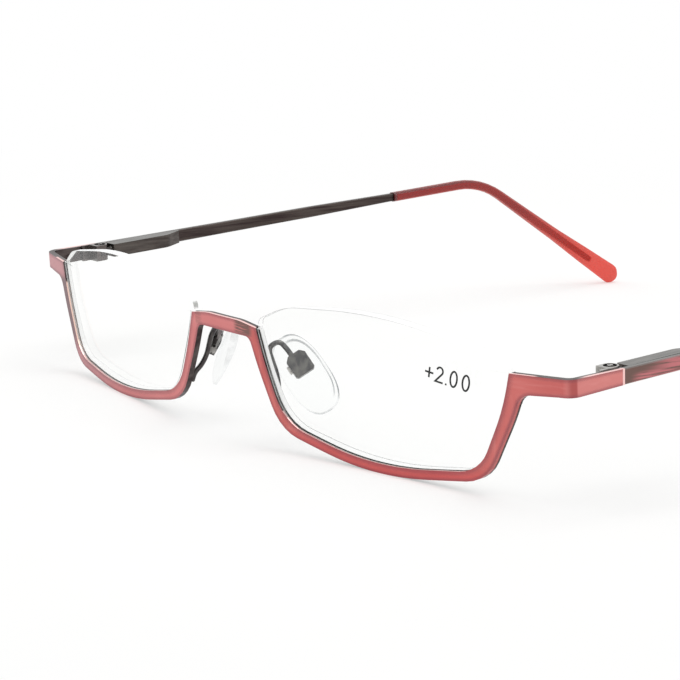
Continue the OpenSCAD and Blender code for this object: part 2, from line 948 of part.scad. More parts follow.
arm_low = rim_top - 12.3;
leg_off = 1.9;
box_mid_y = (box_floor - box_wall + box_mouth) / 2;
box_top = pad_screw_up + box_h / 2;

function over_box(x, up) = from_pad([x, box_mid_y, box_top + up]);

arm_points = [
    leg_at(arm_low, 0.7 * arm_r),
    leg_at(arm_low + 1.5, arm_r),
    leg_at(arm_low + 2.6, 0.7 * leg_off),
    leg_at(arm_low + 4.4, leg_off),
    leg_at(arm_low + 6.4, leg_off),
    leg_at(arm_low + 7.8, leg_off),
    over_box(-2.2, 3.1),
    over_box(-0.7, 2.9),
    over_box(-0.4, 1.4),
    over_box(-0.35, -0.2)
];

// One pass of corner cutting: each inner corner becomes two points
function softened(path) = concat(
    [path[0]],
    [for (i = [0:len(path) - 2]) each [
        path[i] * 0.75 + path[i + 1] * 0.25,
        path[i] * 0.25 + path[i + 1] * 0.75
    ]],
    [path[len(path) - 1]]
);

module pad_arm(side) {
    path = softened(softened(arm_points));
    sides = 10;
    rings = [
        for (i = [0:len(path) - 1])
            let (
                t = unit(path[min(i + 1, len(path) - 1)] - path[max(i - 1, 0)]),
                u = unit(cross(t, [1, 0, 0])),
                v = cross(t, u)
            )
            [for (j = [0:sides - 1])
                let (a = 360 * j / sides) path[i] + arm_r * (cos(a) * u + sin(a) * v)]
    ];
    color(GUNMETAL)
        on_table()
            on_side(side)
                difference() {
                    loft(rings);
                    rotate([lean_angle, 0, 0])
                        mirror([1, 0, 0])
                            curved_sheet(-1, front_t, -1, bridge_top + 1, bend_from, 0);
                    at_pad()
                        upright(box_floor - box_wall - 1, box_mouth + 1)
                            box_outline(0);
                }
}

front_frame();
lens(LEFT);  // lens_left
lens(RIGHT);  // lens_right
front_hinge(LEFT);  // front_hinge_left
front_hinge(RIGHT);  // front_hinge_right
hinge_screw(LEFT);  // hinge_screw_left
hinge_screw(RIGHT);  // hinge_screw_right
carriage(LEFT);  // carriage_left
carriage(RIGHT);  // carriage_right
stop_bush(LEFT);  // stop_bush_left
stop_bush(RIGHT);  // stop_bush_right
spring(LEFT);  // spring_left
spring(RIGHT);  // spring_right
end_nut(LEFT);  // end_nut_left
end_nut(RIGHT);  // end_nut_right
spring_housing(LEFT);  // spring_housing_left
spring_housing(RIGHT);  // spring_housing_right
temple(LEFT);  // temple_left
temple(RIGHT);  // temple_right
temple_tip(LEFT);  // temple_tip_left
temple_tip(RIGHT);  // temple_tip_right
pad_arm(LEFT);  // pad_arm_left
pad_arm(RIGHT);  // pad_arm_right
pad_box(LEFT);  // pad_box_left
pad_box(RIGHT);  // pad_box_right
pad_screw(LEFT);  // pad_screw_left
pad_screw(RIGHT);  // pad_screw_right
nose_pad(LEFT);  // nose_pad_left
nose_pad(RIGHT);  // nose_pad_right
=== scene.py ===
import math

import bmesh
import bpy
import numpy as np
from mathutils import Matrix, Vector
from mathutils.bvhtree import BVHTree


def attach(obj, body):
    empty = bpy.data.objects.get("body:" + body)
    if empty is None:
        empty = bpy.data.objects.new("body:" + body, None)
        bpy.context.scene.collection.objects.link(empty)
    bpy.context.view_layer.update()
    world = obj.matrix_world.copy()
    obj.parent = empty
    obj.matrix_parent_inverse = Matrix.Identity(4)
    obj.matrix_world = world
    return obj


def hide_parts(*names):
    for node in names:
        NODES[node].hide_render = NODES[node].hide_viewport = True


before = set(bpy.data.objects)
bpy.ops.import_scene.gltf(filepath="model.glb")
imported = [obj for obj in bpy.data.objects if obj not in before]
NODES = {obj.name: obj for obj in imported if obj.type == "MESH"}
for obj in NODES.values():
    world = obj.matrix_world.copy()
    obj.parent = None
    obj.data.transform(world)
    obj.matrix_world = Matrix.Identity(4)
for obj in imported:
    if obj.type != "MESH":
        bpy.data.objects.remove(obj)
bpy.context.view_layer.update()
MM = 0.001
scene = bpy.context.scene

# ---------------------------------------------------------------- camera, fitted to the photograph
CAMERA_AT = Vector((327.6, -323.393, 96.619)) * MM
YAW, PITCH, ROLL = (math.radians(angle) for angle in (50.5, 11.21, 1.06))
FOCAL_PX = 2651.0
MIDDLE_PX = (339.2, 341.1)
IMAGE_PX = 680
SENSOR_MM = 36.0
CLIP = (0.01, 20)


def add_camera():
    flat = math.cos(PITCH)
    ahead = Vector((-math.sin(YAW) * flat, math.cos(YAW) * flat, -math.sin(PITCH)))
    level = Vector((math.cos(YAW), math.sin(YAW), 0))
    up = level.cross(ahead)
    right = math.cos(ROLL) * level + math.sin(ROLL) * up
    top = -math.sin(ROLL) * level + math.cos(ROLL) * up
    data = bpy.data.cameras.new("camera")
    data.sensor_width = SENSOR_MM
    data.lens = SENSOR_MM * FOCAL_PX / IMAGE_PX
    data.shift_x = (IMAGE_PX / 2 - MIDDLE_PX[0]) / IMAGE_PX
    data.shift_y = (MIDDLE_PX[1] - IMAGE_PX / 2) / IMAGE_PX
    data.clip_start, data.clip_end = CLIP
    obj = bpy.data.objects.new("camera", data)
    axes = Matrix((right, top, -ahead)).transposed().to_4x4()
    obj.matrix_world = Matrix.Translation(CAMERA_AT) @ axes
    scene.collection.objects.link(obj)
    scene.camera = obj


# ---------------------------------------------------------------- node materials
WHITE = (1, 1, 1)
EVEN = (1, 1, 1)
MOTTLE = (0.3, 0.7)
EDGE_SAMPLES = 4
BRUSHING_MM, GRAIN_MM = 0.02, 0.05


class Nodes:
    """The nodes of a material or a world, under construction."""

    def __init__(self, owner):
        owner.use_nodes = True
        self.tree = owner.node_tree
        self.tree.nodes.clear()

    def add(self, kind, inputs=None, **settings):
        node = self.tree.nodes.new("ShaderNode" + kind)
        for key, value in settings.items():
            setattr(node, key, value)
        for key, value in (inputs or {}).items():
            self.put(node.inputs[key], value)
        return node

    def put(self, socket, value):
        if isinstance(value, bpy.types.NodeSocket):
            self.tree.links.new(value, socket)
        elif hasattr(value, "__len__") and len(value) == 3 and socket.type == "RGBA":
            socket.default_value = (*value, 1)
        else:
            socket.default_value = value

    def math(self, operation, a, b=0.0):
        return self.add("Math", {0: a, 1: b}, operation=operation).outputs[0]

    def dot(self, a, b):
        return self.add("VectorMath", {0: a, 1: b}, operation="DOT_PRODUCT").outputs["Value"]

    def reach(self, a, b):
        """How far off a point is that lies a and b away along two axes."""
        return self.math("SQRT", self.math("ADD", self.both(a, a), self.both(b, b)))

    def both(self, *shares):
        """Where every one of shares holds: their product."""
        product = shares[0]
        for share in shares[1:]:
            product = self.math("MULTIPLY", product, share)
        return product

    def either(self, *shares):
        """Where any one of shares holds: the largest."""
        largest = shares[0]
        for share in shares[1:]:
            largest = self.math("MAXIMUM", largest, share)
        return largest

    def unless(self, share):
        """1 where share is 0, and 0 where it is 1."""
        return self.math("SUBTRACT", 1.0, share)

    def step(self, value, low, high):
        """0 below low, 1 above high, smooth between; low may be the larger."""
        inputs = {"Value": value, "From Min": low, "From Max": high}
        return self.add("MapRange", inputs, interpolation_type="SMOOTHSTEP").outputs["Result"]

    def within(self, value, low, full, end, high):
        """0 outside low and high, 1 from full to end, smooth between."""
        return self.both(self.step(value, low, full), self.step(value, high, end))

    def range(self, value, low, high):
        """A value from 0 to 1 stretched from low to high."""
        inputs = {"Value": value, "To Min": low, "To Max": high}
        return self.add("MapRange", inputs).outputs["Result"]

    def seen(self):
        """1 for what the camera, gloss and glass see, and 0 for light that falls on the object."""
        path = self.add("LightPath").outputs
        kinds = ("Is Camera Ray", "Is Glossy Ray", "Is Transmission Ray")
        return self.either(*(path[kind] for kind in kinds))


class Finish(Nodes):
    """One node material under construction.

    x, y and z are the place in mm, and nx, ny and nz the normal, both in the row frame at rest.
    """

    def __init__(self, name):
        self.material = bpy.data.materials.new(name)
        super().__init__(self.material)
        coords = self.add("TexCoord").outputs
        scaled = self.add("VectorMath", {0: coords["Object"], "Scale": 1 / MM}, operation="SCALE")
        self.spot = scaled.outputs[0]
        self.x, self.y, self.z = self.add("SeparateXYZ", {0: self.spot}).outputs
        self.nx, self.ny, self.nz = self.add("SeparateXYZ", {0: coords["Normal"]}).outputs

    def aside(self):
        """The distance from the middle of the glasses, to either side."""
        return self.math("ABSOLUTE", self.x)

    def outward(self):
        """1 on a wall that faces away from the glasses' middle, and -1 on one that faces it."""
        return self.math("MULTIPLY", self.nx, self.math("SIGN", self.x))

    def blend(self, share, a, b):
        """Colour a where share is 0 and b where it is 1."""
        # A Mix node has its two colours at inputs 6 and 7, and the mixed one at output 2
        return self.add("Mix", {0: share, 6: a, 7: b}, data_type="RGBA").outputs[2]

    def mottle(self, noise, a, b):
        """Colour a in the low half of noise and b in the high half."""
        return self.blend(self.step(noise, *MOTTLE), a, b)

    def paint(self, base, *layers):
        """Base under layers of colour, each given as its mask, its strength and its colour."""
        for mask, strength, colour in layers:
            base = self.blend(self.both(mask, strength), base, colour)
        return base

    def noise(self, scale, stretch, detail, rough, seed=0.0):
        """Noise in 0 to 1, with features about 1/scale mm wide, times stretch along each axis."""
        mapped = self.add("Mapping", {"Vector": self.spot, "Scale": [1 / s for s in stretch]})
        self.put(mapped.inputs["Location"], (seed, 2 * seed, -seed))
        inputs = {"Vector": mapped.outputs[0], "Scale": scale, "Detail": detail}
        return self.add("TexNoise", {**inputs, "Roughness": rough}).outputs[0]

    def bump(self, height, strength, distance_mm):
        inputs = {"Height": height, "Strength": strength, "Distance": distance_mm * MM}
        return self.add("Bump", inputs).outputs[0]

    def edge_lines(self, reach_mm, low, high):
        """1 within reach_mm of a sharp edge and 0 elsewhere; low and high are cosines of turns."""
        rounded = self.add("Bevel", {"Radius": reach_mm * MM}, samples=EDGE_SAMPLES)
        plain = self.add("NewGeometry").outputs["Normal"]
        return self.step(self.dot(rounded.outputs[0], plain), high, low)

    def along_view(self):
        """0 where a surface is seen square on, and 1 where it is seen along itself."""
        return self.add("LayerWeight", {"Blend": 0.5}).outputs["Facing"]

    def skin(self, colour, grain, rough, **more):
        """A Principled shader whose roughness runs through rough with grain."""
        inputs = {"Base Color": colour, "Roughness": self.range(grain, *rough), **more}
        return self.add("BsdfPrincipled", inputs).outputs[0]

    def metal(self, colour, fine, rough, strength):
        """Metal whose brushing is as deep as strength says."""
        normal = self.bump(fine, strength, BRUSHING_MM)
        return self.skin(colour, fine, rough, Metallic=1.0, Normal=normal)

    def clear(self, *colour):
        return self.add("BsdfTransparent", {"Color": colour}).outputs[0]

    def mix(self, share, a, b):
        """Shader a where share is 0 and b where it is 1."""
        return self.add("MixShader", {0: share, 1: a, 2: b}).outputs[0]

    def done(self, shader):
        out = self.add("OutputMaterial")
        self.tree.links.new(shader, out.inputs["Surface"])
        return self.material


def srgb(*rgb):
    """A colour written as 0 to 255 sRGB, as linear."""
    return tuple(c / 255 / 12.92 if c <= 10 else ((c / 255 + 0.055) / 1.055) ** 2.4 for c in rgb)


# How far a wall has to face a way to count as facing it, as the two ends of a smooth step
FORWARD = (-0.3, -0.75)
UPWARD = (0.6, 0.9)
OUTWARD = (0.3, 0.7)
INWARD = (-0.3, -0.7)
INNER_SIDE = (-0.2, -0.6)

# Which half of the glasses a place is in, as steps over x in mm
LEFT_HALF = (0.0, 1.0)
RIGHT_HALF = (0.0, -1.0)
RIGHT_TO_LEFT = (-1.0, 1.0)

# ---------------------------------------------------------------- the front's finish
ROSE = srgb(207, 116, 112)
ROSE_DEEP = srgb(189, 94, 92)
ROSE_PALE = srgb(224, 148, 144)
ROSE_COOL = srgb(220, 150, 152)
ROSE_RED = srgb(206, 90, 90)
ROSE_BEND_REFLECTION = srgb(172, 84, 82)
PINK_HIGHLIGHT = srgb(250, 208, 204)
MAUVE_EDGE_REFLECTION = srgb(122, 76, 86)
MAUVE_PALE_REFLECTION = srgb(180, 142, 150)
MAUVE_DARK_REFLECTION = srgb(106, 84, 88)
PEACH_HIGHLIGHT = srgb(240, 206, 192)
GUN = srgb(92, 84, 82)
GUN_DARK = srgb(56, 46, 46)
BROWN = srgb(118, 94, 88)

# The face is fitted to triangles that look forward near the middle, without those that lie behind
FACE_NORMAL = -0.9
FACE_SPAN = 55
FACE_FITS = 8
FACE_SLACK = 0.12

# The lean of the glasses in degrees, as they stand on the floor
STAND_ANGLE = 3.52303
STAND_TAN = math.tan(math.radians(STAND_ANGLE))

# Steps over the noises, and over how far outward the bend faces, where a dark reflection is painted
CLOUDED = (0.35, 0.7)
PALE_STREAKS = (0.45, 0.8)
DEEP_STREAKS = (0.4, 0.15)
SCRATCHED = (0.32, 0.5)
BEND_FACING = (0.4, 0.85, 0.94, 0.985)

# The reach and cosines of the painted dark edge reflections, and how worn the right patch is beside
# the left one
FRONT_EDGES = (1.0, 0.93, 0.997)
RIGHT_PATCH_SHARE = 0.4

# Places on the front in mm, as the two or four ends of smooth steps
GROOVE_DEPTH = (0.2, 0.35)
GROOVE_SIDE = (59, 57)
STRAP_SIDE = (62.2, 63.0)
WALL_SIDE = (40, 44)
WALL_DEPTH = (0.85, 0.6)
WALL_HEIGHT = (15.8, 15.2)
UPRIGHTS = (3.2, 4.6, 15.0, 16.4)
BRIDGE_AND_RIGHT = (8.0, 5.0)
LEFT_SIDE = (0.0, 12.0)
RIM_FOOT = (4.0, 2.2)
BEND_SIDE = (61.0, 63.0)
RIGHT_REACH = (-28, -52)
RIGHT_LEG_SIDE = (-50, -55)
RIGHT_LEG_HEIGHT = (2.5, 7.0, 15.4, 17.0)
STRAP_END = (-54.98, -54.8)
LEFT_PATCH = (2.6, 3.8, 6.4, 7.8)
RIGHT_PATCH = (-7.6, -7.2, -6.4, -5.4)
PATCH_HEIGHT = (16.4, 17.4)
TOP_SIDE = (62.0, 61.0)
TOP_DEPTH = (0.5, 0.38)
STRAP_TOP_SIDE = (66.5, 66.7)
STRAP_TOP_BACK = (-65.0, -62.5)


def face_plane():
    """a, b, c of the front's curved face y = a + b x^2 + c z, in mm, from its forward triangles."""
    faces = [f for f in NODES["front_frame"].data.polygons if f.normal.y < FACE_NORMAL]
    points = np.array([f.center / MM for f in faces])
    points = points[np.abs(points[:, 0]) < FACE_SPAN]
    rows = np.stack([np.ones(len(points)), points[:, 0] ** 2, points[:, 2]], 1)
    keep = np.ones(len(points), bool)
    for _ in range(FACE_FITS):
        fit = np.linalg.lstsq(rows[keep], points[keep, 1], rcond=None)[0]
        keep = points[:, 1] - rows @ fit < FACE_SLACK
    return fit


def front_finish():
    """Rose lacquer on the face, straps and outer walls, worn in places; bare metal elsewhere."""
    f = Finish("front_metal")
    a, b, c = face_plane()
    bend = f.both(f.x, f.x, b)
    level = f.math("ADD", f.math("MULTIPLY", f.z, c), a)
    depth = f.math("SUBTRACT", f.y, f.math("ADD", bend, level))
    aside = f.aside()
    outward = f.outward()
    groove = f.both(f.step(depth, *GROOVE_DEPTH), f.step(aside, *GROOVE_SIDE))
    facing = f.both(f.step(f.ny, *FORWARD), f.unless(groove))
    outer = f.step(outward, *OUTWARD)
    wall_side = f.step(aside, *WALL_SIDE)
    strap = f.both(f.step(aside, *STRAP_SIDE), outer)
    side_wall = f.both(outer, wall_side, f.step(depth, *WALL_DEPTH))
    painted = f.either(facing, strap, side_wall)

    # The brushing runs along each member
    level_streak = f.noise(1.3, (16, 3, 0.8), detail=3.0, rough=0.5)
    upright_streak = f.noise(1.3, (0.8, 3, 14), detail=3.0, rough=0.5, seed=3.0)
    streak = f.blend(f.within(f.z, *UPRIGHTS), level_streak, upright_streak)
    cloud = f.noise(0.22, (3, 3, 1.6), detail=2.0, rough=0.5, seed=4.0)
    fine = f.noise(5.0, (14, 2, 1), detail=2.0, rough=0.7, seed=9.0)

    left_foot = f.both(f.step(f.x, *LEFT_SIDE), f.step(f.z, *RIM_FOOT))
    # A dark reflection is painted along the middle of each bend
    bend_reflection = f.both(f.step(aside, *BEND_SIDE), f.within(outward, *BEND_FACING))
    right_leg_reflection = f.both(f.step(f.x, *RIGHT_LEG_SIDE), f.within(f.z, *RIGHT_LEG_HEIGHT))
    upright_y = f.math("ADD", f.y, f.math("MULTIPLY", f.z, STAND_TAN))
    # A bright highlight is painted on the strap's end by the hinge
    strap_end_highlight = f.both(strap, f.step(upright_y, *STRAP_END))
    # Brushed through to the gunmetal at the left end of the bridge, and a little at the right
    right_patch = f.both(f.within(f.x, *RIGHT_PATCH), RIGHT_PATCH_SHARE)
    patches = f.either(f.within(f.x, *LEFT_PATCH), right_patch)
    scratches = f.noise(2.4, (9, 3, 0.5), detail=3.0, rough=0.5, seed=6.0)
    worn = f.both(patches, f.step(f.z, *PATCH_HEIGHT), f.step(scratches, *SCRATCHED))
    rose = f.paint(
        ROSE,
        (f.step(cloud, *CLOUDED), 0.6, ROSE_DEEP),
        (f.step(streak, *PALE_STREAKS), 0.4, ROSE_PALE),
        (f.step(streak, *DEEP_STREAKS), 0.3, ROSE_DEEP),
        # Painted light: the straps' outer sides are paler than the face
        (strap, 0.6, ROSE_PALE),
        (f.step(f.x, *BRIDGE_AND_RIGHT), 0.4, ROSE_COOL),
        (left_foot, 0.6, ROSE_RED),
        (bend_reflection, 0.85, ROSE_BEND_REFLECTION),
        # Painted reflections on the right half: pale mauve over it, and dark mauve on its temporal
        # leg
        (f.step(f.x, *RIGHT_REACH), 0.5, MAUVE_PALE_REFLECTION),
        (right_leg_reflection, 0.9, MAUVE_DARK_REFLECTION),
        # Dark reflections are painted along the edges
        (f.edge_lines(*FRONT_EDGES), 0.75, MAUVE_EDGE_REFLECTION),
        (strap_end_highlight, 1.0, PINK_HIGHLIGHT),
        (worn, 0.92, BROWN),
    )

    # Walls facing the middle, out at the temporal bars, get a pale painted highlight
    inner_wall_highlight = f.both(f.step(outward, *INWARD), wall_side, f.step(f.z, *WALL_HEIGHT))
    upward = f.step(f.nz, *UPWARD)
    # The front part of upward faces, and the straps' tops, get painted pink highlights
    front_top_highlight = f.both(upward, f.step(aside, *TOP_SIDE), f.step(depth, *TOP_DEPTH))
    strap_top_highlight = f.both(upward, f.step(aside, *STRAP_TOP_SIDE), f.step(f.y, *STRAP_TOP_BACK))
    bare = f.paint(
        f.mottle(streak, GUN_DARK, GUN),
        (inner_wall_highlight, 1.0, PEACH_HIGHLIGHT),
        (front_top_highlight, 1.0, PINK_HIGHLIGHT),
        (strap_top_highlight, 1.0, PINK_HIGHLIGHT),
    )
    colour = f.blend(painted, bare, rose)
    return f.done(f.metal(colour, fine, rough=(0.28, 0.42), strength=0.08))


# ---------------------------------------------------------------- temples and hinges
HINGE_AT = (64.8, -56.2271, 18.5789)
TEMPLE_RISE = 0.0614498 / 0.99811
RING_EDGE = 0.08

TEMPLE_ROSE = srgb(198, 122, 126)
TEMPLE_GREY = srgb(84, 76, 72)
LIT_TOP_PALE, LIT_TOP_DARK = srgb(118, 117, 115), srgb(74, 68, 64)
HOUSING_SIDES = (srgb(66, 60, 58), srgb(96, 90, 86))
HOUSING_LIT_TOP = (srgb(98, 97, 94), srgb(122, 120, 117))
RECESS_SHADE = srgb(12, 12, 12)

# Places along the temple in mm from the hinge screw back, and above its axis
STREAKS_LOW = (1.5, 4.0)
STREAKS_WHOLE = (4.0, 11.0)
LIT_TOP_DARKENS = (9.0, 22.0)
LOWER_HALF = (0.5, -0.5)

# Where in its noise the temple is streaked, and how far up a wall faces as the top of its piece
STREAKED = (0.36, 0.56)
TEMPLE_TOP = (0.5, 0.85)
HOUSING_TOP = (0.45, 0.8)
HINGE_TOP = (0.3, 0.6)


def temple_finish():
    """Rose streaks on the outer side, which start at its lower edge, and gunmetal elsewhere, with
    its top painted as lit.
    """
    f = Finish("temple_metal")
    along = f.math("SUBTRACT", f.y, HINGE_AT[1])
    axis = f.math("ADD", f.math("MULTIPLY", along, TEMPLE_RISE), HINGE_AT[2])
    above = f.math("SUBTRACT", f.z, axis)
    streak = f.noise(1.5, (1.2, 16, 0.7), detail=4.0, rough=0.6)
    fine = f.noise(5.0, (1, 16, 1), detail=2.0, rough=0.7, seed=9.0)
    low_part = f.both(f.step(above, *LOWER_HALF), f.step(along, *STREAKS_LOW))
    streaked = f.either(low_part, f.step(along, *STREAKS_WHOLE))
    rosy = f.both(streaked, f.step(streak, *STREAKED))
    outside = f.blend(rosy, BROWN, TEMPLE_ROSE)
    inside = f.mottle(streak, GUN_DARK, TEMPLE_GREY)
    # The top is painted as lit from above: pale near the hinge and darker further back
    lit_top = f.blend(f.step(along, *LIT_TOP_DARKENS), LIT_TOP_PALE, LIT_TOP_DARK)
    colour = f.blend(f.step(f.outward(), *OUTWARD), inside, outside)
    colour = f.blend(f.step(f.nz, *TEMPLE_TOP), colour, lit_top)
    return f.done(f.metal(colour, fine, rough=(0.28, 0.45), strength=0.12))


def housing_finish():
    """Dark at its sides and painted pale on top as lit from above, like the bar that it sits on."""
    f = Finish("housing_metal")
    streak = f.noise(1.4, (1, 12, 0.8), detail=4.0, rough=0.6)
    fine = f.noise(7.0, (1, 9, 1), detail=2.0, rough=0.7, seed=5.0)
    sides = f.mottle(streak, *HOUSING_SIDES)
    # Painted light: the top is paler than the sides
    lit_top = f.mottle(streak, *HOUSING_LIT_TOP)
    colour = f.blend(f.step(f.nz, *HOUSING_TOP), sides, lit_top)
    return f.done(f.metal(colour, fine, rough=(0.25, 0.42), strength=0.1))


def hinge_finish(name, dark, pale, ring_from, ring_to):
    """Bright metal with a painted black ring of shade in the recess round the screw, between two
    radii in mm.
    """
    f = Finish(name)
    across = f.math("SUBTRACT", f.aside(), HINGE_AT[0])
    drop = f.math("MULTIPLY", f.math("SUBTRACT", f.z, HINGE_AT[2]), TEMPLE_RISE)
    along = f.math("ADD", f.math("SUBTRACT", f.y, HINGE_AT[1]), drop)
    radii = (ring_from, ring_from + RING_EDGE, ring_to, ring_to + RING_EDGE)
    # A black ring of shade is painted round the screw
    ring = f.both(f.within(f.reach(across, along), *radii), f.step(f.nz, *HINGE_TOP))
    cloud = f.noise(1.1, (2, 2, 1), detail=4.0, rough=0.6)
    fine = f.noise(7.0, (2, 2, 1), detail=2.0, rough=0.7, seed=5.0)
    colour = f.paint(
        f.mottle(cloud, dark, pale),
        # Painted shade and dark reflection on the inner sides, and more on the right half
        (f.step(f.outward(), *INNER_SIDE), 0.9, GUN),
        (f.step(f.x, *RIGHT_HALF), 0.6, GUN),
    )
    bright = f.metal(colour, fine, rough=(0.22, 0.38), strength=0.1)
    black = f.add("BsdfDiffuse", {"Color": RECESS_SHADE}).outputs[0]
    return f.done(f.mix(ring, bright, black))


def gunmetal_finish(name, dark, pale, stretch):
    """Cloudy metal, with painted shade and dark reflection on the right half's inner sides."""
    f = Finish(name)
    cloud = f.noise(1.1, stretch, detail=4.0, rough=0.6)
    fine = f.noise(7.0, stretch, detail=2.0, rough=0.7, seed=5.0)
    # Painted shade and dark reflection where a right-half wall faces inward
    shaded = f.both(f.step(f.outward(), *INNER_SIDE), f.step(f.x, *RIGHT_HALF))
    colour = f.paint(f.mottle(cloud, dark, pale), (shaded, 0.6, GUN_DARK))
    return f.done(f.metal(colour, fine, rough=(0.25, 0.42), strength=0.1))


# ---------------------------------------------------------------- the pads' own frame
# Where the glasses and the pads stand, and the sizes of the pads and their lugs, as in part.scad
STAND = (0.0, -75.4924, -0.282784)
PAD_AT = (10.5, 7.5, 10.5)
PAD_SPLAY, PAD_LEAN, PAD_TILT = 51.0, 21.5, 32.0
PAD_W, PAD_H, PAD_T = 7.3, 14.0, 2.0
PAD_BACK = -0.4 * PAD_T
PAD_SCREW = (PAD_BACK - 0.95, 1.6)
LUG_W, LUG_R, LUG_REACH, PIN_R = 2.5, 0.75, 1.0, 0.5

# The finer form: how square its outline is, how it narrows upward, and the radii of its faces
PAD_POWER = 2.5
PAD_TAPER = (0.98, 0.05)
FRONT_R, BACK_R = 22.0, 40.0


def pad_frame(side):
    """Turns the pad's own frame, in mm, into the row frame, in metres; side is 1 or -1."""
    own = Matrix.Translation(Vector(PAD_AT))
    for angle, axis in ((PAD_SPLAY, "Z"), (-PAD_LEAN, "X"), (-PAD_TILT, "Y")):
        own = own @ Matrix.Rotation(math.radians(angle), 4, axis)
    move = Matrix.Translation(Vector(STAND))
    turn = Matrix.Rotation(math.radians(STAND_ANGLE), 4, "X")
    flip = Matrix.Diagonal((side, 1, 1, 1))
    return Matrix.Scale(MM, 4) @ flip @ move @ turn @ own


# ---------------------------------------------------------------- clear and red plastics
LENS_CLEAR = (0.998, 1.0, 0.998)
LENS_GLOSS = (0.015, 0.5)
GLOSS_POWER = 5.0
GLOSS_ROUGH = 0.03
LENS_EDGES = (0.17, 0.9, 0.992)
WALL_SHARE = 0.97
FAINT_SHARES = (1.0, 0.4)
RIGHT_LOW_SHARE = 0.6
WALL_WHITES = (srgb(250, 251, 250), srgb(255, 255, 255))
WALL_SHADE_GREY = srgb(190, 192, 188)
REFRACTION_LINE_DARK, REFRACTION_LINE_PALE = srgb(96, 102, 98), srgb(152, 158, 154)

# How a wall of a lens faces: not forward or back, to a side, and to the nose a little or fully
WALL_FACING = (0.75, 0.55)
SIDE_FACING = (0.2, 0.4)
NOSE_SLANT = (-0.3, -0.6)
NOSE_FACING = (-0.6, -0.9)

# Places on the lenses in mm, as the two or four ends of smooth steps
NOSE_SIDE = (17, 12)
BELOW_TOP = (19.2, 18.8)
RIGHT_TEMPORAL = (-38, -46)
LEFT_LINED = (2, 6, 30, 48)
RIGHT_LENS = (-8, -12)
UPPER_EDGE = (17.6, 18.4)
SEAM_SIDE = (20, 16)
SEAM_HEIGHT = (18.0, 18.3, 19.0, 19.3)
RIGHT_WALL_FROM = (18.8, 19.6)
LINES_PALER = (36, 54)
ABOVE_RIM = (18.5, 18.9)


def lens_finish():
    """Clear faces with a little gloss, and a polished edge wall, pale between two fine painted
    lines of refraction.
    """
    f = Finish("lens_clear")
    aside = f.aside()
    outward = f.outward()
    nose_side = f.both(f.step(aside, *NOSE_SIDE), f.step(f.z, *BELOW_TOP))

    # The painted lines stand for refraction at the glass's edges: faint at the nose, and none on
    # the upper edge where nothing dark lies behind it
    faint = f.both(nose_side, f.range(f.step(f.x, *RIGHT_TO_LEFT), *FAINT_SHARES))
    lined = f.either(f.step(f.x, *RIGHT_TEMPORAL), f.within(f.x, *LEFT_LINED))
    bare = f.both(f.step(f.z, *UPPER_EDGE), f.unless(lined))
    right_low = f.both(f.step(f.x, *RIGHT_LENS), f.step(f.z, *UPPER_EDGE[::-1]), RIGHT_LOW_SHARE)
    seam = f.both(f.step(aside, *SEAM_SIDE), f.within(f.z, *SEAM_HEIGHT))
    shown = f.both(f.unless(faint), f.unless(f.either(bare, right_low, seam)))
    refraction_lines = f.both(f.edge_lines(*LENS_EDGES), shown)

    haze = f.noise(2.5, (2, 1, 2), detail=2.0, rough=0.5)
    # Painted grey shade on the right lens's nose-facing wall above the rim
    right_wall_shade = f.both(f.step(outward, *NOSE_FACING), f.step(f.z, *RIGHT_WALL_FROM))
    refraction_line = f.blend(f.step(aside, *LINES_PALER), REFRACTION_LINE_DARK, REFRACTION_LINE_PALE)
    colour = f.paint(
        f.blend(haze, *WALL_WHITES),
        (right_wall_shade, f.step(f.x, *RIGHT_HALF), WALL_SHADE_GREY),
        (refraction_lines, 1.0, refraction_line),
    )
    solid = f.skin(colour, haze, rough=(0.25, 0.45))

    # The left lens's wall is hidden where it stands free of the rim at the nose
    free = f.both(f.step(f.x, *LEFT_HALF), f.step(f.x, *NOSE_SIDE), f.step(f.z, *ABOVE_RIM))
    free = f.both(free, f.step(f.math("ABSOLUTE", outward), *SIDE_FACING))
    visible = f.unless(f.either(free, f.both(nose_side, f.step(outward, *NOSE_SLANT))))
    gloss = f.add("BsdfGlossy", {"Color": WHITE, "Roughness": GLOSS_ROUGH}).outputs[0]
    gloss_share = f.range(f.math("POWER", f.along_view(), GLOSS_POWER), *LENS_GLOSS)
    face = f.mix(f.both(gloss_share, visible), f.clear(*LENS_CLEAR), gloss)
    wall = f.both(f.step(f.math("ABSOLUTE", f.ny), *WALL_FACING), visible, WALL_SHARE)
    return f.done(f.mix(f.either(wall, refraction_lines), face, solid))


SILICONE_CLEAR = (0.99, 0.993, 0.993)
SILICONE_IOR = 1.41
SILICONE_SKINS = (srgb(226, 230, 230), srgb(206, 211, 213))
SILICONE_REFRACTION_LINE = srgb(128, 134, 138)
LEAST_SHARE, ENDS_SHARE, INNER_SHARE = 0.15, 0.5, 0.8
LINE_SHARES = (0.2, 0.6)
SKIN_SHARES = (0.05, 0.25)

# Two directions of the left pad, in the row frame
PAD_BACKWARD, PAD_UPWARD = (0.636, 0.772, 0.0), (-0.15, 0.124, 0.981)

# Steps over a measure that is 0 in the pad's middle and 1 at its edge
OUTER_LINE = (0.86, 0.93)
INNER_LINE = (0.58, 0.63, 0.67, 0.72)

# Steps over places on the pad in mm, over the noise that breaks its lines, and over the view
STRONG_FROM = (0.5, 3.0)
PAD_FOOT = (-4.6, -5.8)
PAD_HEAD = (2.0, 4.0)
LINE_BREAKS = (0.2, 0.55)
SKIN_SEEN = (0.62, 0.98)


